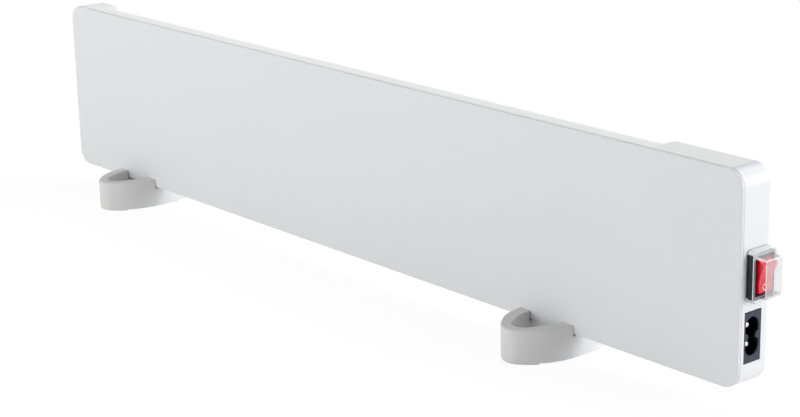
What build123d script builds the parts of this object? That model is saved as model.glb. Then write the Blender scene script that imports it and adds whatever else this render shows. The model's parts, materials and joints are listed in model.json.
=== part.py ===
from build123d import *
from math import atan2, cos, degrees, radians, sin, sqrt, tan
import os

os.makedirs("parts", exist_ok=True)

# A slim infrared panel heater that stands on two clip-on feet.  Millimetres.
# +X runs along the panel to the end with the switch, +Y to the back, +Z up.
# The origin is on the floor, under the middle of the whole heater.

# Driving dimensions
panel_length = 520.0
panel_height = 96.0
corner_radius = 8.2
middle_depth = 10.4  # the thin stretch between the two end housings
end_depth = 18.5
left_end_length = 21.5
right_end_length = 53.0
floor_gap = 12.3  # floor to the panel's lower edge
foot_lap = 4.3  # how far each foot reaches up the panel's faces
left_foot_place = 63.2  # foot middle, from the panel's left end
right_foot_place = 405.2
cover_reach = 9.3  # how far the switch's splash cover stands out of the end wall

plate_thickness = 1.2
seal_thickness = 0.5
wall = 1.8
channel_wall = 1.5
back_wall = 1.4

switch_depth = 10.7  # switch middle, behind the panel's front face
switch_height = 50.2  # switch middle, above the panel's lower edge
inlet_depth = 8.8
inlet_height = 22.7
inlet_recess = 0.15

# Places worked out from them
panel_left = -(panel_length + cover_reach) / 2
panel_right = panel_left + panel_length
panel_middle = (panel_left + panel_right) / 2
panel_bottom = floor_gap
panel_top = panel_bottom + panel_height
middle_height = (panel_bottom + panel_top) / 2
front_y = -middle_depth / 2
plate_back = front_y + plate_thickness
casing_front = plate_back + seal_thickness
channel_back = front_y + middle_depth
end_back = front_y + end_depth
left_joint = panel_left + left_end_length
right_joint = panel_right - right_end_length
switch_y = front_y + switch_depth
switch_z = panel_bottom + switch_height
inlet_y = front_y + inlet_depth
inlet_z = panel_bottom + inlet_height


def upright(y):
    """Drawing plane at depth y: its axes are X and Z, and a negative amount goes to the back."""
    return Plane.XZ.offset(-y)


def from_behind(y):
    """Plane at depth y that faces the back: its first axis is -X, its second is Z."""
    return Plane(origin=(0, y, 0), x_dir=(-1, 0, 0), z_dir=(0, 1, 0))


def across(distance):
    """Drawing plane at a distance outside the right end wall: its axes are Y and Z."""
    return Plane.YZ.offset(panel_right + distance)


def tilted(distance, height_y, height_z, angle):
    """Side plane through a pivot, turned so that its upward axis leans out by the angle."""
    lean = radians(angle)
    return Plane(
        origin=(panel_right + distance, height_y, height_z),
        x_dir=(cos(lean), 0, -sin(lean)),
        z_dir=(0, -1, 0),
    )


def place(x, y, z):
    """A point given by its distance outside the right end wall, its depth and its height."""
    return (panel_right + x, y, z)


# Front plate: one flat coated sheet with a softened front edge.
plate_edge_radius = 0.5

with BuildPart() as front_plate:
    with BuildSketch(upright(front_y)):
        with Locations((panel_middle, middle_height)):
            RectangleRounded(panel_length, panel_height, corner_radius)
    extrude(amount=-plate_thickness)
    fillet(front_plate.faces().sort_by(Axis.Y)[0].edges(), plate_edge_radius)
front_plate.part.label = "front_plate"
export_step(front_plate.part, "parts/front_plate.step")

# Edge seal: the bead that bonds the plate to the casing, set a little inside the outline.
seal_inset = 0.15
seal_inner_inset = 4.0

with BuildPart() as edge_seal:
    with BuildSketch(upright(plate_back)):
        with Locations((panel_middle, middle_height)):
            for inset, mode in ((seal_inset, Mode.ADD), (seal_inner_inset, Mode.SUBTRACT)):
                RectangleRounded(
                    panel_length - 2 * inset,
                    panel_height - 2 * inset,
                    corner_radius - inset,
                    mode=mode,
                )
    extrude(amount=-seal_thickness)
edge_seal.part.label = "edge_seal"
export_step(edge_seal.part, "parts/edge_seal.step")

# Heating film: a resistive layer laminated to the back of the plate.
film_inset = 6.0
film_thickness = 0.4
film_back = plate_back + film_thickness

with BuildPart() as heating_film:
    with BuildSketch(upright(plate_back)):
        with Locations((panel_middle, middle_height)):
            RectangleRounded(panel_length - 2 * film_inset, panel_height - 2 * film_inset, 3.0)
    extrude(amount=-film_thickness)
heating_film.part.label = "heating_film"
export_step(heating_film.part, "parts/heating_film.step")

# Bus bars: two copper strips that feed the film along its long edges.
bar_width = 6.0
bar_thickness = 0.2
bar_offset = 37.0
bar_back = film_back + bar_thickness
top_bar_z = middle_height + bar_offset
bottom_bar_z = middle_height - bar_offset

with BuildPart() as film_bus_bars:
    with BuildSketch(upright(film_back)):
        with Locations((panel_middle, top_bar_z), (panel_middle, bottom_bar_z)):
            Rectangle(panel_length - 2 * film_inset - 6, bar_width)
    extrude(amount=-bar_thickness)
film_bus_bars.part.label = "film_bus_bars"
export_step(film_bus_bars.part, "parts/film_bus_bars.step")

# Middle channel: the thin back of the heater, open to the plate and at both ends.
channel_length = right_joint - left_joint
channel_edge_radius = 1.2
tongue_length = 12.0
screw_inset = 6.0
screw_pitch = 34.0
screw_hole_radius = 1.25
screw_head_radius = 2.5
screw_columns = (left_joint + screw_inset, right_joint - screw_inset)
screw_rows = (middle_height - screw_pitch, middle_height, middle_height + screw_pitch)
screw_spots = [(-x, z) for x in screw_columns for z in screw_rows]

with BuildPart() as middle_channel:
    with BuildSketch(Plane.YZ.offset(left_joint)):
        with Locations(((casing_front + channel_back) / 2, middle_height)):
            Rectangle(channel_back - casing_front, panel_height)
        with Locations(((casing_front + channel_back) / 2 - channel_wall, middle_height)):
            Rectangle(
                channel_back - casing_front,
                panel_height - 2 * channel_wall,
                mode=Mode.SUBTRACT,
            )
    extrude(amount=channel_length)
    long_edges = middle_channel.edges().filter_by(Axis.X)
    fillet(long_edges.group_by(Axis.Y)[-1], channel_edge_radius)
    with Locations(from_behind(channel_back)):
        with Locations(*screw_spots):
            CounterSinkHole(screw_hole_radius, screw_head_radius, depth=channel_wall + 1)
middle_channel.part.label = "middle_channel"
export_step(middle_channel.part, "parts/middle_channel.step")

# Insulation board and the foil on its front, held in the channel between the tongues.
board_front = bar_back + 0.4
foil_thickness = 0.2
board_back = channel_back - channel_wall - 0.2
board_gap = tongue_length + 1.5
board_length = channel_length - 2 * board_gap
board_height = panel_height - 2 * channel_wall - 2.0
board_middle = (left_joint + right_joint) / 2

with BuildPart() as insulation_board:
    with BuildSketch(upright(board_front)):
        with Locations((board_middle, middle_height)):
            Rectangle(board_length, board_height)
    extrude(amount=-(board_back - board_front))
insulation_board.part.label = "insulation_board"
export_step(insulation_board.part, "parts/insulation_board.step")

with BuildPart() as reflector_foil:
    with BuildSketch(upright(board_front - foil_thickness)):
        with Locations((board_middle, middle_height)):
            Rectangle(board_length, board_height)
    extrude(amount=-foil_thickness)
reflector_foil.part.label = "reflector_foil"
export_step(reflector_foil.part, "parts/reflector_foil.step")

# End housings: deep moulded boxes, open to the plate.  A tongue on each reaches into the
# channel, behind the insulation, and the channel is screwed to it from the back.
housing_edge_radius = 1.6
tongue_thickness = 1.6
tongue_back = channel_back - channel_wall
tongue_front = tongue_back - tongue_thickness
tongue_height = panel_height - 2 * channel_wall - 1.0
pilot_radius = 1.1


def housing_outline(joint_x, end_x, inset):
    """Face of one end housing at the seal, with its outer corners rounded."""
    side = 1 if end_x > joint_x else -1
    near = joint_x + side * inset
    far = end_x - side * inset
    with BuildSketch(upright(casing_front)) as outline:
        with Locations(((near + far) / 2, middle_height)):
            Rectangle(abs(far - near), panel_height - 2 * inset)
        outer_corners = outline.vertices().group_by(Axis.X)[-1 if side > 0 else 0]
        fillet(outer_corners, corner_radius - inset)
    return outline.sketch


def end_housing(joint_x, end_x):
    """Shell, mouth and tongue of one end housing."""
    side = 1 if end_x > joint_x else -1
    with BuildPart() as housing:
        extrude(housing_outline(joint_x, end_x, 0), amount=-(end_back - casing_front))
        fillet(housing.faces().sort_by(Axis.Y)[-1].edges(), housing_edge_radius)
        extrude(
            housing_outline(joint_x, end_x, wall),
            amount=-(end_back - back_wall - casing_front),
            mode=Mode.SUBTRACT,
        )
        with BuildSketch(upright(casing_front)):
            with Locations((joint_x + side * wall / 2, middle_height)):
                Rectangle(wall, panel_height - 2 * wall)
        extrude(amount=-(tongue_front - casing_front), mode=Mode.SUBTRACT)
        with BuildSketch(upright(tongue_front)):
            with Locations((joint_x - side * (tongue_length - wall) / 2, middle_height)):
                Rectangle(tongue_length + wall, tongue_height)
        extrude(amount=-tongue_thickness)
        with Locations(from_behind(tongue_back)):
            with Locations(*[(-(joint_x - side * screw_inset), z) for z in screw_rows]):
                Hole(pilot_radius, depth=tongue_thickness)
    return housing.part


with BuildPart() as left_end_housing:
    add(end_housing(left_joint, panel_left))
left_end_housing.part.label = "left_end_housing"
export_step(left_end_housing.part, "parts/left_end_housing.step")

switch_body_width = 12.6
switch_body_height = 18.4
switch_hole_gap = 0.1
inlet_width = 10.6
inlet_tall = 22.5
inlet_top_gap = 0.5  # the inlet sits on the lower edge of its cut-out
inlet_hole_gap = 0.05

with BuildPart() as right_end_housing:
    add(end_housing(right_joint, panel_right))
    with BuildSketch(across(0)):
        with Locations((switch_y, switch_z)):
            Rectangle(
                switch_body_width + 2 * switch_hole_gap,
                switch_body_height + 2 * switch_hole_gap,
            )
        with Locations((inlet_y, inlet_z)):
            Rectangle(
                inlet_width + 2 * inlet_hole_gap,
                inlet_tall + inlet_top_gap + 2 * inlet_hole_gap,
            )
    extrude(amount=-wall, mode=Mode.SUBTRACT)
right_end_housing.part.label = "right_end_housing"
export_step(right_end_housing.part, "parts/right_end_housing.step")

# Six countersunk screws hold the channel to the tongues.
screw_length = 4.5
screw_radius = 1.05
screw_head_height = screw_head_radius - screw_radius
recess_long = 2.6
recess_wide = 0.6
recess_depth = 0.7

with BuildPart() as channel_screws:
    for spot in screw_spots:
        with BuildSketch(from_behind(channel_back)):
            with Locations(spot):
                Circle(screw_head_radius - 0.1)
        extrude(amount=-(screw_head_height - 0.1), taper=45)
        with BuildSketch(from_behind(channel_back)):
            with Locations(spot):
                Circle(screw_radius)
        extrude(amount=-screw_length)
        with BuildSketch(from_behind(channel_back)):
            with Locations(spot):
                Rectangle(recess_long, recess_wide)
                Rectangle(recess_wide, recess_long)
        extrude(amount=-recess_depth, mode=Mode.SUBTRACT)
channel_screws.part.label = "channel_screws"
export_step(channel_screws.part, "parts/channel_screws.step")

# Switch housing: bezel outside the end wall, body behind it, a deep well for the rocker.
# Both ends of the bezel are undercut, and the splash cover's lip fills the undercut.
lip_thickness = 0.4  # the splash cover's inner lip, between bezel and wall
undercut = 0.8
undercut_corner = 0.3
bezel_width = 14.2
bezel_height = 20.4
bezel_corner = 1.4
bezel_front = 3.4
body_depth = 12.5
well_width = 9.2
well_height = 16.6
well_floor = -7.9
pivot_out = 1.2  # rocker's axle, outside the end wall
axle_radius = 1.0
axle_hole_radius = 1.05
axle_hole_reach = 5.8
catch_front = -wall - 0.1  # the sprung catches hold behind the end wall
catch_length = 3.0
catch_width = 5.0
catch_rise = 0.8
catch_root = switch_body_height / 2 - 0.2
catch_crest = switch_body_height / 2 + catch_rise
terminal_width = 4.8
terminal_thickness = 0.8
terminal_offset = 5.2
terminal_gap = 0.05

with BuildPart() as switch_housing:
    with BuildSketch(across(lip_thickness + undercut)):
        with Locations((switch_y, switch_z)):
            RectangleRounded(bezel_width, bezel_height, bezel_corner)
    extrude(amount=bezel_front - lip_thickness - undercut)
    fillet(switch_housing.faces().sort_by(Axis.X)[-1].edges(), 0.5)
    with BuildSketch(across(lip_thickness)):
        with Locations((switch_y, switch_z)):
            RectangleRounded(bezel_width, switch_body_height, undercut_corner)
    extrude(amount=undercut)
    with BuildSketch(across(-body_depth)):
        with Locations((switch_y, switch_z)):
            Rectangle(switch_body_width, switch_body_height)
    extrude(amount=body_depth + lip_thickness)
    for side in (-1, 1):
        with BuildSketch(upright(switch_y)):
            with BuildLine():
                Polyline(
                    (panel_right + catch_front, switch_z + side * catch_root),
                    (panel_right + catch_front, switch_z + side * catch_crest),
                    (panel_right + catch_front - catch_length, switch_z + side * catch_root),
                    close=True,
                )
            make_face()
        extrude(amount=catch_width / 2, both=True)
    with BuildSketch(across(bezel_front)):
        with Locations((switch_y, switch_z)):
            Rectangle(well_width, well_height)
    extrude(amount=well_floor - bezel_front, mode=Mode.SUBTRACT)
    with BuildSketch(upright(switch_y)):
        with Locations((panel_right + pivot_out, switch_z)):
            Circle(axle_hole_radius)
    extrude(amount=axle_hole_reach, both=True, mode=Mode.SUBTRACT)
    with BuildSketch(across(well_floor)):
        with Locations((switch_y, switch_z), (switch_y, switch_z - terminal_offset)):
            Rectangle(terminal_width + 2 * terminal_gap, terminal_thickness + 2 * terminal_gap)
    extrude(amount=-body_depth, mode=Mode.SUBTRACT)
switch_housing.part.label = "switch_housing"
export_step(switch_housing.part, "parts/switch_housing.step")

# Switch terminals: the middle one ends in a rounded edge, on which the contact arm rocks.
# The lower one is the fixed contact.
terminal_end = -19.5
arm_pivot = -6.5
fixed_contact_top = -7.25

with BuildPart() as switch_terminals:
    for height, top in ((0, arm_pivot), (-terminal_offset, fixed_contact_top)):
        with BuildSketch(across(terminal_end)):
            with Locations((switch_y, switch_z + height)):
                Rectangle(terminal_width, terminal_thickness)
        extrude(amount=top - terminal_end)
    with BuildSketch(upright(switch_y)):
        with Locations((panel_right + arm_pivot, switch_z)):
            Circle(terminal_thickness / 2)
    extrude(amount=terminal_width / 2, both=True)
switch_terminals.part.label = "switch_terminals"
export_step(switch_terminals.part, "parts/switch_terminals.step")

# Contact arm: a copper strip with a round groove that sits on the middle terminal.
arm_tilt = 8.0
arm_length = 11.6
arm_width = 3.6
arm_thickness = 0.7
arm_lift = 0.12
groove_radius = 0.45

with BuildPart() as contact_arm:
    with BuildSketch(tilted(arm_pivot, switch_y, switch_z, -arm_tilt)):
        with Locations((arm_lift + arm_thickness / 2, 0)):
            Rectangle(arm_thickness, arm_length)
        Circle(groove_radius, mode=Mode.SUBTRACT)
    extrude(amount=arm_width / 2, both=True)
contact_arm.part.label = "contact_arm"
export_step(contact_arm.part, "parts/contact_arm.step")

# Rocker: a shallow V with two dished faces, tilted at rest so that its lower half is
# pressed in (off).  Its ends are round about the axle, so they pass the well's ends evenly.
rocker_tilt = 11.0
rocker_half = 6.1
rocker_width = 8.6
rocker_face = 3.85
rocker_tip = rocker_face + rocker_half * tan(radians(rocker_tilt))
rocker_end_radius = sqrt(rocker_tip**2 + rocker_half**2)
rocker_dish = 0.35
rocker_edge_radius = 0.4
rocker_skirt = -0.8
rocker_skirt_half = sqrt(rocker_end_radius**2 - rocker_skirt**2)
boss_half = 1.9
boss_end = -3.2
spring_bore = 1.25
spring_bore_end = 1.0
axle_reach = 5.6
rocker_plane = tilted(pivot_out, switch_y, switch_z, rocker_tilt)
plunger_plane = Plane(
    origin=rocker_plane.origin,
    x_dir=(0, 1, 0),
    z_dir=rocker_plane.x_dir,
)

with BuildPart() as rocker:
    with BuildSketch(rocker_plane):
        with BuildLine():
            Polyline(
                (rocker_skirt, rocker_skirt_half),
                (rocker_skirt, boss_half),
                (boss_end, boss_half),
                (boss_end, -boss_half),
                (rocker_skirt, -boss_half),
                (rocker_skirt, -rocker_skirt_half),
            )
            dish_bottom = (rocker_tip + rocker_face) / 2 - rocker_dish
            for side in (1, -1):
                ThreePointArc(
                    (rocker_skirt, side * rocker_skirt_half),
                    (0, side * rocker_end_radius),
                    (rocker_tip, side * rocker_half),
                )
                ThreePointArc(
                    (rocker_tip, side * rocker_half),
                    (dish_bottom, side * rocker_half / 2),
                    (rocker_face, 0),
                )
        make_face()
    extrude(amount=rocker_width / 2, both=True)
    outward = Axis(rocker_plane.origin, rocker_plane.x_dir)
    tip_edges = rocker.edges().filter_by(Axis.Y).sort_by(outward)[-2:]
    fillet(tip_edges, rocker_edge_radius)
    with BuildSketch(rocker_plane):
        Circle(axle_radius)
    extrude(amount=axle_reach, both=True)
    with BuildSketch(plunger_plane.offset(boss_end)):
        Circle(spring_bore)
    extrude(amount=spring_bore_end - boss_end, mode=Mode.SUBTRACT)
rocker.part.label = "rocker"
export_step(rocker.part, "parts/rocker.step")

# Plunger and its spring, in the rocker's boss: they push on the contact arm.
plunger_radius = 1.1
plunger_tip = -6.7
plunger_head = -1.3
spring_wall = 0.4

with BuildPart() as rocker_plunger:
    with BuildSketch(plunger_plane.offset(plunger_tip)):
        Circle(plunger_radius)
    extrude(amount=plunger_head - plunger_tip)
    tip_face = rocker_plunger.faces().sort_by(Axis.X)[0]
    fillet(tip_face.edges(), 0.9)
rocker_plunger.part.label = "rocker_plunger"
export_step(rocker_plunger.part, "parts/rocker_plunger.step")

with BuildPart() as plunger_spring:
    with BuildSketch(plunger_plane.offset(plunger_head)):
        Circle(plunger_radius)
        Circle(plunger_radius - spring_wall, mode=Mode.SUBTRACT)
    extrude(amount=spring_bore_end - plunger_head)
plunger_spring.part.label = "plunger_spring"
export_step(plunger_spring.part, "parts/plunger_spring.step")

# Splash cover: clear and flexible.  Its skirt grips the bezel all round, an inner lip lies
# under the bezel, and its drafted box leaves room for the rocker's whole travel.
skirt_width = 15.2
skirt_height = 23.0
skirt_front = 4.2
skirt_corner = 2.8
skirt_edge_radius = 0.5
groove_gap = 0.05
box_root = (12.3, 18.7, 1.8)  # width, height and corner radius where it leaves the skirt
box_end = (10.2, 16.8, 1.1)
box_wall = 0.5
box_edge_radius = 0.8


def slab(start, end, width, height, corner):
    """Rounded block on the switch's middle line, between two distances outside the wall."""
    with BuildPart() as block:
        with BuildSketch(across(start)):
            with Locations((switch_y, switch_z)):
                RectangleRounded(width, height, corner)
        extrude(amount=end - start)
    return block.part


def drafted_box(end, inset):
    """The box from the skirt's front to a distance outside the wall, drawn in by an inset."""
    with BuildPart() as box:
        for distance, (width, height, corner) in ((skirt_front, box_root), (end, box_end)):
            with BuildSketch(across(distance)):
                with Locations((switch_y, switch_z)):
                    RectangleRounded(width - 2 * inset, height - 2 * inset, corner - inset)
        loft(ruled=True)
    return box.part


with BuildPart() as splash_cover:
    add(slab(0, skirt_front, skirt_width, skirt_height, skirt_corner))
    fillet(splash_cover.faces().sort_by(Axis.X)[-1].edges(), skirt_edge_radius)
    add(drafted_box(cover_reach, 0))
    fillet(splash_cover.faces().sort_by(Axis.X)[-1].edges(), box_edge_radius)
    body_hole = (
        switch_body_width + 2 * switch_hole_gap,
        switch_body_height + 2 * switch_hole_gap,
        undercut_corner,
    )
    undercut_hole = (
        bezel_width + 2 * groove_gap,
        switch_body_height + 2 * groove_gap,
        undercut_corner,
    )
    bezel_hole = (bezel_width + 2 * groove_gap, bezel_height + 2 * groove_gap, bezel_corner)
    root_hole = (box_root[0] - 2 * box_wall, box_root[1] - 2 * box_wall, box_root[2] - box_wall)
    undercut_front = lip_thickness + undercut - groove_gap
    add(slab(0, lip_thickness, *body_hole), mode=Mode.SUBTRACT)
    add(slab(lip_thickness - groove_gap, undercut_front, *undercut_hole), mode=Mode.SUBTRACT)
    add(slab(undercut_front, bezel_front + groove_gap, *bezel_hole), mode=Mode.SUBTRACT)
    add(slab(bezel_front, skirt_front, *root_hole), mode=Mode.SUBTRACT)
    add(drafted_box(cover_reach - box_wall, box_wall), mode=Mode.SUBTRACT)
splash_cover.part.label = "splash_cover"
export_step(splash_cover.part, "parts/splash_cover.step")

# Mains inlet: a two-pin figure-of-eight socket, pushed into the wall from the inside.
inlet_body_depth = 15.0
inlet_flange_width = 13.0
inlet_flange_height = 26.4
inlet_flange_thickness = 1.6
socket_length = 17.2
socket_width = 8.2
socket_depth = 12.0
waist_offset = 4.0
waist_radius = 1.8
pin_pitch = 8.6
pin_radius = 1.2
pin_recess = 2.8
pin_neck_radius = 1.0  # the pin's root, in the socket's floor
pin_neck_gap = 0.2
tag_width = 4.8
tag_thickness = 0.8
pin_spots = [(inlet_y, inlet_z + side * pin_pitch / 2) for side in (1, -1)]
inlet_middle = inlet_z - inlet_top_gap / 2

with BuildPart() as inlet_body:
    with BuildSketch(across(-inlet_body_depth)):
        with Locations((inlet_y, inlet_middle)):
            Rectangle(inlet_width, inlet_tall)
    extrude(amount=inlet_body_depth - inlet_recess)
    with BuildSketch(across(-wall)):
        with Locations((inlet_y, inlet_z)):
            Rectangle(inlet_flange_width, inlet_flange_height)
    extrude(amount=-inlet_flange_thickness)
    with BuildSketch(across(-inlet_recess)):
        with Locations((inlet_y, inlet_z)):
            SlotOverall(socket_length, socket_width, rotation=90)
        for side in (-1, 1):
            with Locations((inlet_y + side * waist_offset, inlet_z)):
                Circle(waist_radius, mode=Mode.SUBTRACT)
    extrude(amount=-socket_depth, mode=Mode.SUBTRACT)
    front_face = inlet_body.faces().sort_by(Axis.X)[-1]
    chamfer(front_face.inner_wires()[0].edges(), 0.3)
    with BuildSketch(across(-inlet_body_depth)):
        for spot in pin_spots:
            with Locations(spot):
                Rectangle(tag_width + 0.1, tag_thickness + 0.1)
    extrude(amount=inlet_body_depth - socket_depth - inlet_recess - 1.0, mode=Mode.SUBTRACT)
    with BuildSketch(across(-inlet_recess - socket_depth)):
        for spot in pin_spots:
            with Locations(spot):
                Circle(pin_neck_radius + 0.05)
    extrude(amount=-1.0, mode=Mode.SUBTRACT)
inlet_body.part.label = "inlet_body"
export_step(inlet_body.part, "parts/inlet_body.step")

# Inlet pins: round at the socket, flat tags behind the body.
pin_root = -(socket_depth + inlet_recess + 1.0)
pin_neck_end = -(socket_depth + inlet_recess) + pin_neck_gap

with BuildPart() as inlet_pins:
    for start, end, radius in (
        (pin_root, pin_neck_end, pin_neck_radius),
        (pin_neck_end, -pin_recess, pin_radius),
    ):
        with BuildSketch(across(start)):
            for spot in pin_spots:
                with Locations(spot):
                    Circle(radius)
        extrude(amount=end - start)
    fillet(inlet_pins.faces().sort_by(Axis.X)[-2:].edges(), 0.5)
    with BuildSketch(across(pin_root)):
        for spot in pin_spots:
            with Locations(spot):
                Rectangle(tag_width, tag_thickness)
    extrude(amount=terminal_end - pin_root)
inlet_pins.part.label = "inlet_pins"
export_step(inlet_pins.part, "parts/inlet_pins.step")

# Push-on receptacles: insulated boxes that grip the tags of the switch and the inlet.
receptacle_mouth = -16.0
receptacle_back = -26.0
receptacle_width = 6.2
receptacle_height = 2.6
tag_slot_depth = 4.0
receptacle_spots = [
    (switch_y, switch_z),
    (switch_y, switch_z - terminal_offset),
    *pin_spots,
]

with BuildPart() as lead_receptacles:
    with BuildSketch(across(receptacle_mouth)):
        for spot in receptacle_spots:
            with Locations(spot):
                RectangleRounded(receptacle_width, receptacle_height, 0.5)
    extrude(amount=receptacle_back - receptacle_mouth)
    with BuildSketch(across(receptacle_mouth)):
        for spot in receptacle_spots:
            with Locations(spot):
                Rectangle(tag_width + 0.1, tag_thickness + 0.1)
    extrude(amount=-tag_slot_depth, mode=Mode.SUBTRACT)
lead_receptacles.part.label = "lead_receptacles"
export_step(lead_receptacles.part, "parts/lead_receptacles.step")

# Thermal cut-out: lies on the back of the film, in the live lead, under a spring clip.
cutout_x = -40.0
cutout_width = 8.0
cutout_depth = 4.0
cutout_length = 18.0
cutout_front = film_back + 0.1
cutout_middle = middle_height + 22.7
cutout_bottom = cutout_middle - cutout_length / 2
cutout_top = cutout_middle + cutout_length / 2
lead_y = cutout_front + cutout_depth / 2
clip_thickness = 0.5
clip_gap = 0.1
clip_width = 6.0
clip_foot = 4.0

with BuildPart() as thermal_cutout:
    with BuildSketch(upright(cutout_front)):
        with Locations((panel_right + cutout_x, cutout_middle)):
            RectangleRounded(cutout_width, cutout_length, 1.0)
    extrude(amount=-cutout_depth)
thermal_cutout.part.label = "thermal_cutout"
export_step(thermal_cutout.part, "parts/thermal_cutout.step")

with BuildPart() as cutout_clip:
    inside_half = cutout_width / 2 + clip_gap
    outside_half = inside_half + clip_thickness
    foot_half = inside_half + clip_foot
    clip_rise = cutout_depth + 0.1 + clip_gap
    clip_corner = (panel_right + cutout_x, film_back, cutout_middle - clip_width / 2)
    with BuildSketch(Plane(origin=clip_corner)):
        with BuildLine():
            Polyline(
                (foot_half, 0),
                (foot_half, clip_thickness),
                (outside_half, clip_thickness),
                (outside_half, clip_rise + clip_thickness),
                (-outside_half, clip_rise + clip_thickness),
                (-outside_half, clip_thickness),
                (-foot_half, clip_thickness),
                (-foot_half, 0),
                (-inside_half, 0),
                (-inside_half, clip_rise),
                (inside_half, clip_rise),
                (inside_half, 0),
                (foot_half, 0),
            )
        make_face()
    extrude(amount=clip_width)
cutout_clip.part.label = "cutout_clip"
export_step(cutout_clip.part, "parts/cutout_clip.step")

# Solder joints on the bus bars.
joint_near = -49.0
joint_length = 4.0
joint_height = 4.0

with BuildPart() as solder_joints:
    with BuildSketch(upright(bar_back)):
        joint_x = panel_right + joint_near - joint_length / 2
        with Locations((joint_x, top_bar_z), (joint_x, bottom_bar_z)):
            RectangleRounded(joint_length, joint_height, 0.8)
    extrude(amount=-(lead_y + 1.2 - bar_back))
solder_joints.part.label = "solder_joints"
export_step(solder_joints.part, "parts/solder_joints.step")

# Leads: insulated wires held at both ends, in straight runs and round bends.
lead_radius = 1.0
lead_column = -35.0
lead_routes = {
    "lead_live_in": (
        [
            place(receptacle_back, *pin_spots[0]),
            place(lead_column, *pin_spots[0]),
            place(lead_column, switch_y, switch_z - terminal_offset),
            place(receptacle_back, switch_y, switch_z - terminal_offset),
        ],
        [4.5, 4.5],
    ),
    "lead_live_switched": (
        [
            place(receptacle_back, switch_y, switch_z),
            place(cutout_x, switch_y, switch_z),
            place(cutout_x, lead_y, switch_z + 6.0),
            place(cutout_x, lead_y, cutout_bottom),
        ],
        [3.5, 3.5],
    ),
    "lead_live_film": (
        [
            place(cutout_x, lead_y, cutout_top),
            place(cutout_x, lead_y, top_bar_z),
            place(joint_near, lead_y, top_bar_z),
        ],
        [4.0],
    ),
    "lead_neutral": (
        [
            place(receptacle_back, *pin_spots[1]),
            place(lead_column, *pin_spots[1]),
            place(lead_column - 4.0, lead_y, bottom_bar_z),
            place(joint_near, lead_y, bottom_bar_z),
        ],
        [3.5, 3.5],
    ),
}

for lead_name, (points, bends) in lead_routes.items():
    with BuildPart() as lead:
        with BuildLine():
            route = FilletPolyline(*points, radius=bends)
        with BuildSketch(Plane(origin=route @ 0, z_dir=route % 0)):
            Circle(lead_radius)
        sweep(path=route)
    print(lead_name, "bends", bends, "length", round(route.length, 1))
    lead.part.label = lead_name
    export_step(lead.part, f"parts/{lead_name}.step")

# Feet: rounded rings that stand in front of and behind the panel.  A slot across both arms
# takes the panel's thin lower edge, and the foot stands on its two noses.
foot_width = 35.5
foot_straight = 4.3  # straight stretch of the arms, each way from the middle
foot_flank_radius = 30.5
foot_nose_radius = 9.3
hole_width = 22.0
hole_straight = 3.5
hole_flank_radius = 33.0
hole_nose_radius = 5.8
foot_top = floor_gap + foot_lap
foot_bottom_radius = 1.2
foot_top_radius = 0.8
slot_gap = 0.2
relief_width = 1.4
relief_depth = 1.0
arch_half = 21.5  # the arms are raised off the floor between the noses
arch_rise = 0.9


def ring_outline(width, straight, flank_radius, nose_radius):
    """Closed outline with straight arms, long flank curves and round noses."""
    across_centres = flank_radius - width / 2
    between_centres = flank_radius - nose_radius
    nose_centre = straight + sqrt(between_centres**2 - across_centres**2)
    meeting_angle = degrees(atan2(nose_centre - straight, across_centres))
    with BuildSketch() as outline:
        with BuildLine():
            Line((width / 2, 0), (width / 2, straight))
            CenterArc((-across_centres, straight), flank_radius, 0, meeting_angle)
            CenterArc((0, nose_centre), nose_radius, meeting_angle, 90 - meeting_angle)
            mirror(about=Plane.YZ)
            mirror(about=Plane.XZ)
        make_face()
    return outline.sketch


for foot_name, foot_place in (("left_foot", left_foot_place), ("right_foot", right_foot_place)):
    foot_origin = (panel_left + foot_place, 0, 0)
    foot_base = Plane(origin=foot_origin)
    with BuildPart() as foot:
        with BuildSketch(foot_base):
            add(ring_outline(foot_width, foot_straight, foot_flank_radius, foot_nose_radius))
        extrude(amount=foot_top)
        fillet(foot.faces().sort_by(Axis.Z)[0].edges(), foot_bottom_radius)
        fillet(foot.faces().sort_by(Axis.Z)[-1].edges(), foot_top_radius)
        with BuildSketch(foot_base):
            add(ring_outline(hole_width, hole_straight, hole_flank_radius, hole_nose_radius))
        extrude(amount=foot_top, mode=Mode.SUBTRACT)
        with BuildSketch(foot_base.offset(floor_gap)):
            Rectangle(foot_width + 2, middle_depth + 2 * slot_gap)
        extrude(amount=foot_lap, mode=Mode.SUBTRACT)
        with BuildSketch(foot_base.offset(floor_gap - relief_depth)):
            with Locations((0, front_y - slot_gap + relief_width / 2)):
                Rectangle(foot_width + 2, relief_width)
        extrude(amount=relief_depth, mode=Mode.SUBTRACT)
        with BuildSketch(foot_base):
            Rectangle(foot_width + 2, 2 * arch_half)
        extrude(amount=arch_rise, mode=Mode.SUBTRACT)
    foot.part.label = foot_name
    export_step(foot.part, f"parts/{foot_name}.step")
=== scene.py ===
import json
import math

import bmesh
import bpy
from mathutils import Matrix, Vector
from mathutils.bvhtree import BVHTree


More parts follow.
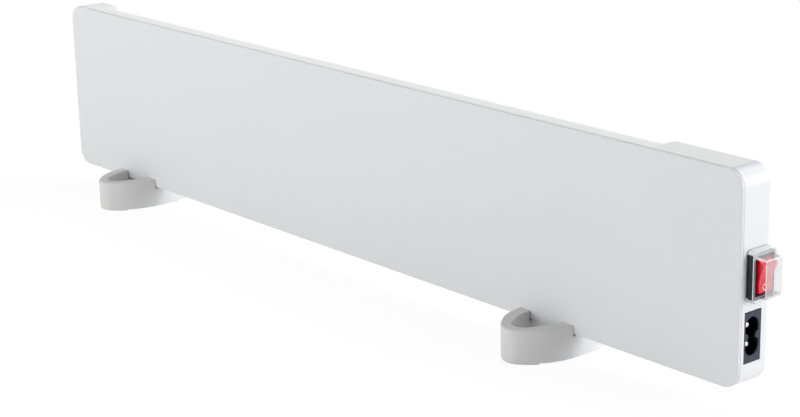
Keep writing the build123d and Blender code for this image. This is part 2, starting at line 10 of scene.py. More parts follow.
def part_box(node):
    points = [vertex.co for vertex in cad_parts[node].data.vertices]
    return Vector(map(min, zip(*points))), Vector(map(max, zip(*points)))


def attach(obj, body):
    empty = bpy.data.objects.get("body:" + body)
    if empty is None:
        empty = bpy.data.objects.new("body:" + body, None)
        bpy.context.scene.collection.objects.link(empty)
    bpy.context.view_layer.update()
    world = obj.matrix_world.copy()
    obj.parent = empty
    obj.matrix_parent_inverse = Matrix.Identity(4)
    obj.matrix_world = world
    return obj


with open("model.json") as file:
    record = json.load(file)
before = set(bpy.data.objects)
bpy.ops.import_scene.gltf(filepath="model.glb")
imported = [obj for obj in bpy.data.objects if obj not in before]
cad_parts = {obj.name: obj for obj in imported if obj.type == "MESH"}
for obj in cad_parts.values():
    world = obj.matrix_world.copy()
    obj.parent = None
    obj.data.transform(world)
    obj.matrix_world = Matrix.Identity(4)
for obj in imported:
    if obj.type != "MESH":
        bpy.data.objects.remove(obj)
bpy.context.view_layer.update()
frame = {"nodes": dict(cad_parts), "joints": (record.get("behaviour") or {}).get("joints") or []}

bpy.context.scene.view_settings.view_transform = "Standard"


# The camera stands in front of the heater's switch end, a little above it, and looks back
# along the panel.  Its place and angles come from the panel's edges in the photograph.
camera_lens = 91.7
camera_spot = (0.7791, -0.6235, 0.3316)
camera_heading = 50.21  # degrees from +Y, turned towards the heater's left end
camera_tip = 16.46  # degrees below level
camera_roll = -1.20
camera_data = bpy.data.cameras.new("camera")
camera_data.lens = camera_lens
camera_data.clip_start = 0.01
camera = bpy.data.objects.new("camera", camera_data)
heading = Matrix.Rotation(math.radians(camera_heading), 3, "Z")
tip_down = Matrix.Rotation(math.radians(90 - camera_tip), 3, "X")
roll = Matrix.Rotation(math.radians(camera_roll), 3, "Z")
camera.matrix_world = Matrix.Translation(camera_spot) @ (heading @ tip_down @ roll).to_4x4()
bpy.context.collection.objects.link(camera)
bpy.context.scene.camera = camera


# The studio: a broad round of pale paper under the heater, six soft lamps and a dim room.
# Seen directly, or in gloss or through clear plastic, paper and room are plain white.
def new_material(name):
    material = bpy.data.materials.new(name)
    material.use_nodes = True
    material.node_tree.nodes.clear()
    return material


def add_node(material, kind, **settings):
    """Adds a node.  A setting named like an input is set there, any other on the node."""
    node = material.node_tree.nodes.new(kind)
    for key, value in settings.items():
        socket = node.inputs.get(key.replace("_", " "))
        if socket is None:
            setattr(node, key, value)
        else:
            socket.default_value = value
    return node


def join(material, source, target):
    material.node_tree.links.new(source, target)


def calculated(material, operation, first, second=0.0):
    """One step of maths on two values.  Either may be a plain number."""
    node = add_node(material, "ShaderNodeMath", operation=operation)
    for socket, value in zip(node.inputs, (first, second)):
        if isinstance(value, (int, float)):
            socket.default_value = value
        else:
            join(material, value, socket)
    return node.outputs[0]


def either(material, first, second):
    """The higher of two masks."""
    return calculated(material, "MAXIMUM", first, second)


def seen_directly(material):
    """1 for camera, glossy and transmission rays, 0 for the light that reaches the heater."""
    rays = add_node(material, "ShaderNodeLightPath").outputs
    seen_by_camera_or_gloss = either(material, rays["Is Camera Ray"], rays["Is Glossy Ray"])
    return either(material, seen_by_camera_or_gloss, rays["Is Transmission Ray"])


def show_white(material, plain, white, output):
    """Puts the white shader in for rays that see the surface directly."""
    choice = add_node(material, "ShaderNodeMixShader")
    join(material, seen_directly(material), choice.inputs[0])
    join(material, plain, choice.inputs[1])
    join(material, white, choice.inputs[2])
    join(material, choice.outputs[0], output.inputs["Surface"])


def grey(level):
    return (level, level, level, 1)


def turns_of(sides):
    """The angles of the corners of a many-sided round."""
    return [2 * math.pi * step / sides for step in range(sides)]


paper_radius = 8.0
paper_sides = 96
paper_grey = 0.90
shadow_share = 0.13  # how strongly the paper, where it is seen directly, shows shadows
glow_distance = (0.6, 2.5)  # from the paper's middle: where its white begins to rise, and ends
glow_level = (0.91, 1.0)
room_level = 0.04

paper_rim = [
    (paper_radius * math.cos(turn), paper_radius * math.sin(turn), 0)
    for turn in turns_of(paper_sides)
]
paper_mesh = bpy.data.meshes.new("paper")
paper_mesh.from_pydata(paper_rim, [], [range(paper_sides)])
paper = bpy.data.objects.new("paper", paper_mesh)
bpy.context.collection.objects.link(paper)

studio_paper = new_material("studio_paper")
paper_plain = add_node(studio_paper, "ShaderNodeBsdfDiffuse", Color=grey(paper_grey))
paper_shade = add_node(studio_paper, "ShaderNodeBsdfDiffuse", Color=grey(shadow_share))
paper_glow = add_node(studio_paper, "ShaderNodeEmission", Color=grey(1))
paper_place = add_node(studio_paper, "ShaderNodeTexCoord").outputs["Object"]
from_middle = add_node(studio_paper, "ShaderNodeVectorMath", operation="LENGTH")
glow_rise = add_node(
    studio_paper,
    "ShaderNodeMapRange",
    From_Min=glow_distance[0],
    From_Max=glow_distance[1],
    To_Min=glow_level[0],
    To_Max=glow_level[1],
)
join(studio_paper, paper_place, from_middle.inputs[0])
join(studio_paper, from_middle.outputs["Value"], glow_rise.inputs["Value"])
join(studio_paper, glow_rise.outputs["Result"], paper_glow.inputs["Strength"])
paper_white = add_node(studio_paper, "ShaderNodeAddShader")
join(studio_paper, paper_shade.outputs[0], paper_white.inputs[0])
join(studio_paper, paper_glow.outputs[0], paper_white.inputs[1])
paper_output = add_node(studio_paper, "ShaderNodeOutputMaterial")
show_white(studio_paper, paper_plain.outputs[0], paper_white.outputs[0], paper_output)
paper_mesh.materials.append(studio_paper)

room = bpy.data.worlds.new("room")
room.use_nodes = True
room.node_tree.nodes.clear()
room_plain = add_node(room, "ShaderNodeBackground", Color=grey(1), Strength=room_level)
room_white = add_node(room, "ShaderNodeBackground", Color=grey(1), Strength=1.0)
room_output = add_node(room, "ShaderNodeOutputWorld")
show_white(room, room_plain.outputs[0], room_white.outputs[0], room_output)
bpy.context.scene.world = room


def soft_lamp(name, compass, elevation, distance, size, level, colour):
    """A square lamp aimed at the heater.  Its level is what it gives a white card facing it."""
    around = math.radians(compass)
    height = math.radians(elevation)
    flat = distance * math.cos(height)
    place = Vector((flat * math.cos(around), flat * math.sin(around), distance * math.sin(height)))
    lamp = bpy.data.lights.new(name, "AREA")
    lamp.shape = "SQUARE"
    lamp.size = size
    lamp.energy = level * (math.pi * distance) ** 2
    lamp.color = colour
    holder = bpy.data.objects.new(name, lamp)
    holder.location = place
    holder.rotation_euler = (-place).to_track_quat("-Z", "Y").to_euler()
    bpy.context.collection.objects.link(holder)


# Compass, from +X round towards +Y, and elevation are in degrees, distance and size in metres.
soft_lamp("window_lamp", 32, 20, 2.5, 1.6, 0.62, (0.93, 0.97, 1.0))
soft_lamp("side_lamp", 6, 18, 2.3, 1.6, 0.15, (0.95, 0.98, 1.0))
soft_lamp("left_lamp", 248, 18, 1.35, 0.95, 0.465, (1.0, 0.995, 0.99))
soft_lamp("front_lamp", 276, 8, 2.2, 1.4, 0.275, (1.0, 0.99, 1.0))
soft_lamp("top_lamp", 75, 63, 2.3, 1.5, 0.40, (1.0, 0.995, 0.985))
soft_lamp("back_lamp", 165, 50, 0.9, 0.6, 0.12, (1.0, 0.985, 0.965))


# Front plate: a flat metal sheet with a satin powder coat, bonded to the casing all round.
# It is the warm face of the heater.  Painted shade greys its upward-facing top edge.
def start_finish(name, **constants):
    """A material with one Principled shader, ready for its colour, gloss and relief."""
    material = new_material(name)
    place = add_node(material, "ShaderNodeTexCoord").outputs["Object"]
    shader = add_node(material, "ShaderNodeBsdfPrincipled", **constants)
    output = add_node(material, "ShaderNodeOutputMaterial")
    join(material, shader.outputs[0], output.inputs["Surface"])
    return material, place, shader


def node_of(material, kind):
    return next(node for node in material.node_tree.nodes if node.type == kind)


def noise(material, place, per_metre, detail=2.0, stretch=(1, 1, 1)):
    """Fine random pattern with this many features per metre, times the stretch."""
    spread = add_node(material, "ShaderNodeMapping")
    spread.inputs["Scale"].default_value = stretch
    texture = add_node(material, "ShaderNodeTexNoise", Scale=per_metre, Detail=detail)
    join(material, place, spread.inputs["Vector"])
    join(material, spread.outputs[0], texture.inputs["Vector"])
    return texture.outputs["Fac"]


def spread_to(material, pattern, low, high):
    """A pattern's middle range, stretched from low to high."""
    limits = {"From_Min": 0.3, "From_Max": 0.7, "To_Min": low, "To_Max": high}
    node = add_node(material, "ShaderNodeMapRange", **limits)
    join(material, pattern, node.inputs["Value"])
    return node.outputs["Result"]


def colour_between(material, pattern, first, second):
    node = add_node(material, "ShaderNodeMix", data_type="RGBA")
    node.inputs[6].default_value = (*first, 1)
    node.inputs[7].default_value = (*second, 1)
    join(material, spread_to(material, pattern, 0.0, 1.0), node.inputs[0])
    return node.outputs[2]


def relief(material, shader, height, depth, before=None):
    """Bump of a depth in metres, laid over an earlier one if that is given."""
    node = add_node(material, "ShaderNodeBump", Distance=depth)
    join(material, height, node.inputs["Height"])
    if before is not None:
        join(material, before, node.inputs["Normal"])
    join(material, node.outputs[0], shader.inputs["Normal"])
    return node.outputs[0]


def shaded(colour, share):
    return tuple(channel * share for channel in colour)


def powder_coat(name, colour, roughness):
    """Satin coat: faint orange peel, a trace of tone, and small changes of gloss."""
    coat, place, shader = start_finish(name, IOR=1.5)
    cloud = noise(coat, place, per_metre=9)
    tone = colour_between(coat, cloud, shaded(colour, 0.985), colour)
    join(coat, tone, shader.inputs["Base Color"])
    patches = noise(coat, place, per_metre=60, detail=4)
    join(coat, spread_to(coat, patches, roughness - 0.04, roughness + 0.05), shader.inputs["Roughness"])
    peel = relief(coat, shader, noise(coat, place, per_metre=420), depth=0.00004)
    grain = noise(coat, place, per_metre=2600, detail=3)
    relief(coat, shader, grain, depth=0.00001, before=peel)
    return coat


def finish_nodes(material, *names):
    """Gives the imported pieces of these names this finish."""
    for name in names:
        piece = frame["nodes"][name]
        piece.data.materials.clear()
        piece.data.materials.append(material)


def ramp(material, value, start, end, low=0.0, high=1.0):
    """A value stretched smoothly, so that it goes from low at start to high at end."""
    limits = {"From_Min": start, "From_Max": end, "To_Min": low, "To_Max": high}
    node = add_node(material, "ShaderNodeMapRange", interpolation_type="SMOOTHSTEP", **limits)
    join(material, value, node.inputs["Value"])
    return node.outputs["Result"]


def by_axis(material, kind):
    """A coordinate of the piece's own, split into X, Y and Z."""
    split = add_node(material, "ShaderNodeSeparateXYZ")
    join(material, node_of(material, "TEX_COORD").outputs[kind], split.inputs[0])
    return split.outputs


def facing(material):
    """The direction that each spot of the piece faces: 1 or -1 on an axis it faces squarely."""
    return by_axis(material, "Normal")


def tint_where(material, mask, colour):
    """Lays a second colour over a finish's own where the mask is 1."""
    shader = node_of(material, "BSDF_PRINCIPLED")
    under = shader.inputs["Base Color"].links[0].from_socket
    node = add_node(material, "ShaderNodeMix", data_type="RGBA")
    node.inputs[7].default_value = (*colour, 1)
    join(material, mask, node.inputs[0])
    join(material, under, node.inputs[6])
    join(material, node.outputs[2], shader.inputs["Base Color"])


plate_white = (0.79, 0.80, 0.82)
# Painted shade: a greyer tone laid on the plate's upward-facing top edge.
painted_edge_shade = (0.72, 0.725, 0.74)
facing_up = (0.20, 0.60)  # where the painted edge shade begins, and where it is full
plate_coat = powder_coat("plate_coat", plate_white, roughness=0.40)
top_edge = ramp(plate_coat, facing(plate_coat)["Z"], *facing_up)
tint_where(plate_coat, top_edge, painted_edge_shade)
finish_nodes(plate_coat, "front_plate")


# Edge seal: the bead of white silicone that bonds the plate to the casing.  It fills the gap
# almost to the edge.  Painted shade greys its top, so that it reads as a fine dark line there.
def soft_rubber(name, colour, roughness, lumps):
    """Matte rubber or silicone with shallow lumps and a bloom of dust."""
    rubber, place, shader = start_finish(name, IOR=1.45)
    bloom = noise(rubber, place, per_metre=140, detail=4)
    tone = colour_between(rubber, bloom, shaded(colour, 0.82), colour)
    join(rubber, tone, shader.inputs["Base Color"])
    gloss = spread_to(rubber, bloom, roughness - 0.06, roughness + 0.08)
    join(rubber, gloss, shader.inputs["Roughness"])
    relief(rubber, shader, noise(rubber, place, per_metre=lumps, detail=3), depth=0.00006)
    return rubber


def placed(material):
    """Where each spot of the piece is, in metres."""
    return by_axis(material, "Object")


seal_white = (0.84, 0.845, 0.86)
painted_seal_shade = (0.22, 0.22, 0.23)
seal_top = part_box("edge_seal")[1][2]
seal_shade_depth = (0.0016, 0.0004)  # below the top: where the painted shade begins, and where it is full
seal_silicone = soft_rubber("seal_silicone", seal_white, roughness=0.50, lumps=500)
seal_height = placed(seal_silicone)["Z"]
# Painted shade: the seal's top is greyed, as a dark shadow gap along the plate's top edge.
seal_top_shade = ramp(seal_silicone, seal_height, seal_top - seal_shade_depth[0], seal_top - seal_shade_depth[1])
tint_where(seal_silicone, seal_top_shade, painted_seal_shade)
finish_nodes(seal_silicone, "edge_seal")


# Heating film: resistive ink printed in stripes between two clear films, laminated to the
# back of the plate.  Two copper bus bars feed it along its long edges.
pitch_at_scale_one = 0.314  # metres between the bands of a wave texture


def printed_film(name, ink, gap, stripe_pitch):
    film, place, shader = start_finish(name, IOR=1.55)
    stripes = add_node(
        film,
        "ShaderNodeTexWave",
        wave_type="BANDS",
        bands_direction="X",
        Scale=pitch_at_scale_one / stripe_pitch,
        Distortion=0.0,
    )
    join(film, place, stripes.inputs["Vector"])
    pattern = stripes.outputs["Fac"]
    join(film, colour_between(film, pattern, ink, gap), shader.inputs["Base Color"])
    smear = noise(film, place, per_metre=220, detail=4, stretch=(1, 1, 0.2))
    join(film, spread_to(film, smear, 0.22, 0.40), shader.inputs["Roughness"])
    relief(film, shader, pattern, depth=0.00002)
    return film


def worn_metal(name, colour, roughness, stretch=(1, 1, 1), lines=1500):
    """Bare or plated metal with fine drawn lines, dull patches and a slight stain."""
    metal, place, shader = start_finish(name, Metallic=1.0)
    stain = noise(metal, place, per_metre=160, detail=4)
    tone = colour_between(metal, stain, shaded(colour, 0.80), colour)
    join(metal, tone, shader.inputs["Base Color"])
    drawn = noise(metal, place, per_metre=lines, detail=3, stretch=stretch)
    gloss = spread_to(metal, drawn, roughness - 0.08, roughness + 0.10)
    join(metal, gloss, shader.inputs["Roughness"])
    relief(metal, shader, drawn, depth=0.00001)
    return metal


ink_black = (0.012, 0.012, 0.014)
film_brown = (0.05, 0.045, 0.04)
film_ink = printed_film("film_ink", ink_black, film_brown, stripe_pitch=0.01)
finish_nodes(film_ink, "heating_film")
bar_copper = worn_metal("bar_copper", (0.86, 0.46, 0.30), roughness=0.34, stretch=(0.04, 1, 1))
finish_nodes(bar_copper, "film_bus_bars")


# Middle channel: the thin back of the heater, folded from coated sheet and screwed to a
# tongue on each end housing.
channel_white = (0.90, 0.90, 0.90)
finish_nodes(powder_coat("channel_coat", channel_white, roughness=0.32), "middle_channel")


# Insulation board: pressed mineral fibre that fills the channel, with aluminium foil on its
# front to send the heat forward.
def fibre_board(name, pale, dark):
    board, place, shader = start_finish(name, Roughness=0.95)
    strands = noise(board, place, per_metre=700, detail=5, stretch=(1, 1, 0.25))
    cross_strands = noise(board, place, per_metre=700, detail=5, stretch=(0.25, 1, 1))
    join(board, colour_between(board, strands, dark, pale), shader.inputs["Base Color"])
    first = relief(board, shader, strands, depth=0.00025)
    relief(board, shader, cross_strands, depth=0.00020, before=first)
    return board


def creased_foil(name, colour):
    foil, place, shader = start_finish(name, Metallic=1.0)
    creases = add_node(foil, "ShaderNodeTexVoronoi", feature="DISTANCE_TO_EDGE", Scale=90.0)
    join(foil, place, creases.inputs["Vector"])
    haze = noise(foil, place, per_metre=240, detail=4)
    join(foil, colour_between(foil, haze, shaded(colour, 0.9), colour), shader.inputs["Base Color"])
    join(foil, spread_to(foil, haze, 0.16, 0.34), shader.inputs["Roughness"])
    folds = relief(foil, shader, creases.outputs["Distance"], depth=0.0002)
    dents = noise(foil, place, per_metre=300, detail=2)
    relief(foil, shader, dents, depth=0.0001, before=folds)
    return foil


fibre_pale = (0.66, 0.58, 0.40)
fibre_dark = (0.46, 0.39, 0.25)
finish_nodes(fibre_board("board_fibre", fibre_pale, fibre_dark), "insulation_board")
finish_nodes(creased_foil("foil_aluminium", (0.90, 0.91, 0.92)), "reflector_foil")


# End housings: deep moulded boxes in white plastic that close both ends of the heater.  The
# right-hand one holds the switch and the mains inlet in its end wall.  A darker, bluish band
# is painted where the flat top begins to turn down towards the switch: a painted reflection of a dark
# area.
def moulded_plastic(name, colour, roughness, grain=1800, depth=0.000012, **constants):
    """Moulded plastic: the fine grain of the mould, flow marks, and small gloss changes."""
    plastic, place, shader = start_finish(name, **constants)
    flow = noise(plastic, place, per_metre=14)
    tone = colour_between(plastic, flow, shaded(colour, 0.985), colour)
    join(plastic, tone, shader.inputs["Base Color"])
    patches = noise(plastic, place, per_metre=90)
    gloss = spread_to(plastic, patches, roughness - 0.02, roughness + 0.03)
    join(plastic, gloss, shader.inputs["Roughness"])
    relief(plastic, shader, noise(plastic, place, per_metre=grain, detail=3), depth)
    return plastic


def both(material, first, second):
    """Two masks multiplied."""
    return calculated(material, "MULTIPLY", first, second)


casing_white = (0.84, 0.84, 0.842)
# Painted reflection: a darker, bluish tone where the top's round begins.
painted_round_shade = (0.66, 0.685, 0.74)
band_begins = (0.01, 0.12)  # how far the round faces the switch end, from the flat top on
band_ends = (0.16, 0.60)
still_upper = (0.30, 0.60)  # how far it faces up
housing_white = moulded_plastic(
    "housing_white", casing_white, roughness=0.34, grain=1100, depth=0.000004, IOR=1.5
)
turned = facing(housing_white)
past_flat_top = ramp(housing_white, turned["X"], *band_begins)
before_end_wall = ramp(housing_white, turned["X"], *band_ends, low=1.0, high=0.0)
upper = ramp(housing_white, turned["Z"], *still_upper)
round_start = both(housing_white, both(housing_white, past_flat_top, before_end_wall), upper)
tint_where(housing_white, round_start, painted_round_shade)
finish_nodes(housing_white, "left_end_housing", "right_end_housing")


# Channel screws: six small countersunk screws in zinc-plated steel.  They go through the
# channel's back into the tongues of the end housings.
screw_zinc = worn_metal("screw_zinc", (0.70, 0.71, 0.72), roughness=0.30, lines=2400)
finish_nodes(screw_zinc, "channel_screws")


# Switch housing: the black nylon body of the rocker switch, snapped into the end wall, with
# its two tinned tags and the copper arm that joins them.
nylon_black = (0.010, 0.011, 0.017)
switch_nylon = moulded_plastic("switch_nylon", nylon_black, roughness=0.36, grain=2400, depth=0.00002)
node_of(switch_nylon, "BSDF_PRINCIPLED").inputs["Specular IOR Level"].default_value = 0.30
finish_nodes(switch_nylon, "switch_housing")
tag_tin = worn_metal("tag_tin", (0.80, 0.77, 0.70), roughness=0.30, stretch=(0.1, 1, 1))
finish_nodes(tag_tin, "switch_terminals")
arm_copper = worn_metal("arm_copper", (0.88, 0.50, 0.33), roughness=0.28, stretch=(1, 1, 0.1))
finish_nodes(arm_copper, "contact_arm")


# Rocker: clear red plastic, tilted with its lower half pressed in.  A white bar on the upper
# half and a white ring on the lower half, both printed, mark on and off.
def tinted_plastic(name, colour, deep):
    """Plastic that light enters a little, polished on its faces."""
    plastic, place, shader = start_finish(
        name,
        IOR=1.57,
        Subsurface_Weight=0.30,
        Subsurface_Scale=0.002,
        Coat_Weight=0.3,
        Coat_Roughness=0.08,
    )
    shader.inputs["Subsurface Radius"].default_value = (1.0, 0.1, 0.1)
    cloud = noise(plastic, place, per_metre=160, detail=3)
    join(plastic, colour_between(plastic, cloud, deep, colour), shader.inputs["Base Color"])
    patches = noise(plastic, place, per_metre=700, detail=3)
    join(plastic, spread_to(plastic, patches, 0.14, 0.24), shader.inputs["Roughness"])
    relief(plastic, shader, noise(plastic, place, per_metre=1500), depth=0.000008)
    return plastic


bright_red = (0.84, 0.004, 0.032)
deep_red = (0.74, 0.002, 0.020)
finish_nodes(tinted_plastic("rocker_red", bright_red, deep_red), "rocker")

pivot_joint = next(joint for joint in frame["joints"] if joint["name"] == "rocker_pivot")
pivot = Vector(pivot_joint["pos_m"])
rocker_lean = math.radians(11.0)
outward = Vector((math.cos(rocker_lean), 0, -math.sin(rocker_lean)))
sideways = Vector((0, 1, 0))
upward = Vector((math.sin(rocker_lean), 0, math.cos(rocker_lean)))
mark_distance = 0.0040  # from the rocker's middle, up to the bar and down to the ring
mark_sides = 40
mark_lift = 0.00004
mark_thickness = 0.00012
ring_shift = -0.0007  # towards the heater's front
ring_radius = 0.00125
ring_line = 0.00033
bar_half_length = 0.00125
bar_half_width = 0.0002
bar_slit = (0.02, 0.9)  # shares of the bar's width and length, too thin a slit to show
well_outside = 0.02  # further out than any point of the rocker
mark_white = moulded_plastic("mark_white", (0.86, 0.84, 0.83), roughness=0.35)
rocker_surface = BVHTree.FromObject(frame["nodes"]["rocker"], bpy.context.evaluated_depsgraph_get())


def on_rocker(across, along, lift):
    """The point of the rocker's face at these distances from its middle, lifted off it."""
    start = pivot + sideways * across + upward * along + outward * well_outside
    hit = rocker_surface.ray_cast(start, -outward)[0]
    return hit + outward * lift


def oval(across, along, half_width, half_length):
    """Closed outline of an oval, round a spot at these distances from the rocker's middle."""
    return [
        (across + half_width * math.cos(turn), along + half_length * math.sin(turn))
        for turn in turns_of(mark_sides)
    ]


def rocker_mark(name, outer, inner):
    """A thin raised print on the rocker between two closed outlines of equal length."""
    mesh = bmesh.new()
    rings = [
        [mesh.verts.new(on_rocker(across, along, lift)) for across, along in outline]
        for outline, lift in (
            (outer, -mark_thickness),
            (outer, mark_lift),
            (inner, mark_lift),
            (inner, -mark_thickness),
        )
    ]
    for first, second in zip(rings, rings[1:] + rings[:1]):
        for i in range(mark_sides):
            j = (i + 1) % mark_sides
            mesh.faces.new((first[i], first[j], second[j], second[i]))
    bmesh.ops.recalc_face_normals(mesh, faces=mesh.faces)
    data = bpy.data.meshes.new(name)
    mesh.to_mesh(data)
    mesh.free()
    data.materials.append(mark_white)
    mark = bpy.data.objects.new(name, data)
    bpy.context.collection.objects.link(mark)
    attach(mark, "rocker")


ring_hole = ring_radius - ring_line
rocker_mark(
    "rocker_off_ring",
    oval(ring_shift, -mark_distance, ring_radius, ring_radius),
    oval(ring_shift, -mark_distance, ring_hole, ring_hole),
)
rocker_mark(
    "rocker_on_bar",
    oval(0, mark_distance, bar_half_width, bar_half_length),
    oval(0, mark_distance, bar_half_width * bar_slit[0], bar_half_length * bar_slit[1]),
)


# Plunger and spring: a brass pin with a small steel spring behind it, held in the rocker's
# boss.  It pushes on the contact arm and tips it over.
plunger_brass = worn_metal("plunger_brass", (0.85, 0.66, 0.36), roughness=0.25)
finish_nodes(plunger_brass, "rocker_plunger")
spring_steel = worn_metal("spring_steel", (0.62, 0.62, 0.63), roughness=0.26, stretch=(1, 1, 0.1))
finish_nodes(spring_steel, "plunger_spring")


# Splash cover: a boot of clear, flexible vinyl stretched over the bezel.  The box over the
# rocker has thin, clear flanks and a partly opaque grey top; its end and the skirt's end carry
# a pale wash of painted reflection.  The skirt round the bezel is pale, the near edges carry a
# painted white highlight, and those at the back, underneath and by the wall a painted shade line.
# The base vinyl tone shows mainly as the painted reflection on the box's end.
reflection_tone = (0.66, 0.665, 0.68)
# Painted highlight: the white laid on the near edges.
painted_highlight_tone = (0.93, 0.935, 0.95)
skirt_tone = (0.78, 0.785, 0.80)
top_tone = (0.42, 0.42, 0.44)
# Painted shade: the dark tone of the lines on the far edges, by the wall and along the end's far side.
painted_outline_shade = (0.34, 0.345, 0.36)
# Opacities of the end faces paint a reflection there; those of the tops make them partly opaque.
skirt_end_reflection = 0.30
skirt_upper_reflection = 0.78
box_end_reflection = 0.52
box_top_opacity = 0.62
# Opacity of the painted highlight and shade lines on the edges and the far strip, and of the skirt's
# top.
painted_line_opacity = 0.90

# Each pair is where a form begins to show and where it is full: by how far it faces one way,
edge_gone = (0.84, 0.95)
end_turn = (0.70, 0.90)
top_turn = (0.50, 0.80)
back_turn = (0.20, 0.50)
under_turn = (-0.20, -0.50)
above_under = (-0.6, -0.3)
# and by where it is, in metres.
skirt_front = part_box("switch_housing")[1][0] + 0.0008
wall_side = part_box("splash_cover")[0][0]
box_start = (skirt_front - 0.0001, skirt_front + 0.0003)
wall_line_end = (wall_side + 0.0005, wall_side + 0.0008)
far_strip_start = (pivot.y + 0.0046, pivot.y + 0.0050)
skirt_top_start = (pivot.z + 0.0076, pivot.z + 0.0086)


def clear_vinyl(name):
    """The vinyl itself: slight haze and gloss changes, faint waves."""
    vinyl, place, shader = start_finish(name, IOR=1.45)
    cloud = noise(vinyl, place, per_metre=300, detail=3)
    # The base tone, seen mostly in the painted reflection on the box's end.
    frost = colour_between(vinyl, cloud, shaded(reflection_tone, 0.96), reflection_tone)
    join(vinyl, frost, shader.inputs["Base Color"])
    patches = noise(vinyl, place, per_metre=500, detail=3)
    join(vinyl, spread_to(vinyl, patches, 0.06, 0.16), shader.inputs["Roughness"])
    relief(vinyl, shader, noise(vinyl, place, per_metre=260, detail=1), depth=0.00003)
    return vinyl


def opposite(material, mask):
    return calculated(material, "SUBTRACT", 1.0, mask)


def cover_forms(vinyl):
    """A mask for each form of the cover, from where its spots are and where they face."""
    faces = facing(vinyl)
    spots = placed(vinyl)
    square_x, square_y, square_z = (calculated(vinyl, "ABSOLUTE", faces[axis]) for axis in "XYZ")
    square_on = either(vinyl, either(vinyl, square_x, square_y), square_z)
    end_face = ramp(vinyl, faces["X"], *end_turn)
    back_face = ramp(vinyl, faces["Y"], *back_turn)
    under_face = ramp(vinyl, faces["Z"], *under_turn)
    not_under = ramp(vinyl, faces["Z"], *above_under)
    box = ramp(vinyl, spots["X"], *box_start)
    by_wall = opposite(vinyl, ramp(vinyl, spots["X"], *wall_line_end))
    at_far_side = both(vinyl, end_face, ramp(vinyl, spots["Y"], *far_strip_start))
    return {
        "edge": ramp(vinyl, square_on, *edge_gone, low=1.0, high=0.0),
        "end": end_face,
        "top": ramp(vinyl, faces["Z"], *top_turn),
        "away": either(vinyl, back_face, under_face),
        "box": box,
        "skirt": opposite(vinyl, box),
        "skirt_top": ramp(vinyl, spots["Z"], *skirt_top_start),
        "wall_line": both(vinyl, by_wall, not_under),
        "far_strip": both(vinyl, at_far_side, box),
    }


def tint_cover(vinyl, form):
    """Painted white highlight on the near edges, painted shade lines on those at the back, under and by
    the wall.
    """
    tint_where(vinyl, form["skirt"], skirt_tone)
    tint_where(vinyl, both(vinyl, form["top"], form["box"]), top_tone)
    # Painted shade: dark lines on the edges that face back or down.
    tint_where(vinyl, both(vinyl, form["edge"], form["away"]), painted_outline_shade)
    # Painted highlight: the near edges are laid white.
    tint_where(vinyl, both(vinyl, form["edge"], opposite(vinyl, form["away"])), painted_highlight_tone)
    # Painted shade: dark lines by the wall and along the end's far side.
    tint_where(vinyl, form["wall_line"], painted_outline_shade)
    tint_where(vinyl, form["far_strip"], painted_outline_shade)


def cover_opacity(vinyl, form):
    """Opacity of the outer side: opaque painted edge lines, a painted reflection on the end, a partly
    opaque top, clear flanks.
    """
    # Painted reflection: the end faces are made partly opaque and pale.
    skirt_reflection_opacity = ramp(vinyl, form["skirt_top"], 0.0, 1.0, skirt_end_reflection, skirt_upper_reflection)
    box_reflection_opacity = ramp(vinyl, form["far_strip"], 0.0, 1.0, box_end_reflection, painted_line_opacity)
    end_reflection_opacity = either(
        vinyl, both(vinyl, form["skirt"], skirt_reflection_opacity), both(vinyl, form["box"], box_reflection_opacity)
    )
    top_opacity = ramp(vinyl, form["box"], 0.0, 1.0, painted_line_opacity, box_top_opacity)
    # The end faces' painted reflection and the tops' opacity, together.
    frost = either(vinyl, both(vinyl, form["end"], end_reflection_opacity), both(vinyl, form["top"], top_opacity))
    opacity = either(vinyl, both(vinyl, form["edge"], painted_line_opacity), frost)
    inner_side = add_node(vinyl, "ShaderNodeNewGeometry").outputs["Backfacing"]
    outer_opacity = both(vinyl, opacity, opposite(vinyl, inner_side))
    join(vinyl, outer_opacity, node_of(vinyl, "BSDF_PRINCIPLED").inputs["Alpha"])


def pass_lamp_light(vinyl):
    """Lets the lamps shine on the switch through the vinyl, with only a slight loss."""
    path = add_node(vinyl, "ShaderNodeLightPath")
    pane = add_node(vinyl, "ShaderNodeBsdfTransparent", Color=grey(0.97))
    choice = add_node(vinyl, "ShaderNodeMixShader")
    join(vinyl, path.outputs["Is Shadow Ray"], choice.inputs[0])
    join(vinyl, node_of(vinyl, "BSDF_PRINCIPLED").outputs[0], choice.inputs[1])
    join(vinyl, pane.outputs[0], choice.inputs[2])
    join(vinyl, choice.outputs[0], node_of(vinyl, "OUTPUT_MATERIAL").inputs["Surface"])


cover_vinyl = clear_vinyl("cover_vinyl")
cover_form = cover_forms(cover_vinyl)
tint_cover(cover_vinyl, cover_form)
cover_opacity(cover_vinyl, cover_form)
pass_lamp_light(cover_vinyl)
finish_nodes(cover_vinyl, "splash_cover")
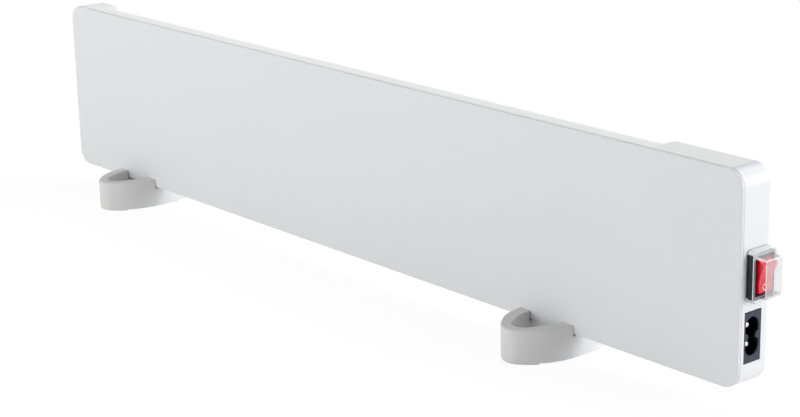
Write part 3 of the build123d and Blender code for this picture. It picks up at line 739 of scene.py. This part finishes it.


# Mains inlet: a moulded socket in slate-black plastic, pushed in from the inside, with two
# bright nickel-plated pins.  Painted shade makes the socket's deep inside blacker than its face.
slate_black = (0.040, 0.045, 0.072)
painted_socket_shade = (0.0015, 0.0015, 0.0018)
face_depth = (0.0009, 0.0004)  # behind the face: where the slate tone begins, and is full
inlet_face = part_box("inlet_body")[1][0]
inlet_slate = moulded_plastic("inlet_slate", slate_black, roughness=0.34, grain=1400, depth=0.000015)
node_of(inlet_slate, "BSDF_PRINCIPLED").inputs["Specular IOR Level"].default_value = 0.30
inlet_reach = placed(inlet_slate)["X"]
at_face = ramp(inlet_slate, inlet_reach, inlet_face - face_depth[0], inlet_face - face_depth[1])
# Painted shade: the socket's inside, behind the face, is laid near black.
tint_where(inlet_slate, opposite(inlet_slate, at_face), painted_socket_shade)
finish_nodes(inlet_slate, "inlet_body")
pin_nickel = worn_metal("pin_nickel", (0.86, 0.83, 0.77), roughness=0.18, stretch=(0.1, 1, 1))
finish_nodes(pin_nickel, "inlet_pins")


# Receptacles and leads: push-on connectors in cream nylon sleeves, on stranded leads with
# brown and blue vinyl insulation.
lead_lumps = 900
sleeve_cream = (0.66, 0.61, 0.47)
sleeve_nylon = moulded_plastic("sleeve_nylon", sleeve_cream, roughness=0.40, Subsurface_Weight=0.1)
finish_nodes(sleeve_nylon, "lead_receptacles")
lead_brown = soft_rubber("lead_brown", (0.085, 0.032, 0.014), roughness=0.36, lumps=lead_lumps)
finish_nodes(lead_brown, "lead_live_in", "lead_live_switched", "lead_live_film")
lead_blue = soft_rubber("lead_blue", (0.012, 0.060, 0.30), roughness=0.36, lumps=lead_lumps)
finish_nodes(lead_blue, "lead_neutral")


# Thermal cut-out: a small sealed switch that lies on the film under a spring clip, and the
# two soldered ends on the bus bars.
def dull_solder(name, colour):
    solder, place, shader = start_finish(name, Metallic=1.0)
    frost = noise(solder, place, per_metre=1200, detail=4)
    tone = colour_between(solder, frost, shaded(colour, 0.7), colour)
    join(solder, tone, shader.inputs["Base Color"])
    join(solder, spread_to(solder, frost, 0.25, 0.55), shader.inputs["Roughness"])
    relief(solder, shader, noise(solder, place, per_metre=700), depth=0.00012)
    return solder


resin_black = (0.018, 0.018, 0.018)
cutout_resin = moulded_plastic("cutout_resin", resin_black, roughness=0.22, grain=900, depth=0.00003)
finish_nodes(cutout_resin, "thermal_cutout")
finish_nodes(spring_steel, "cutout_clip")
finish_nodes(dull_solder("solder_tin", (0.72, 0.72, 0.72)), "solder_joints")


# Feet: rings of pale grey plastic with a fine eroded texture, one near each end of the panel.
# A slot across both arms grips the panel's lower edge.
pale_grey = (0.745, 0.735, 0.732)
foot_grey = moulded_plastic("foot_grey", pale_grey, roughness=0.55, grain=1300, depth=0.00003)
finish_nodes(foot_grey, "left_foot", "right_foot")
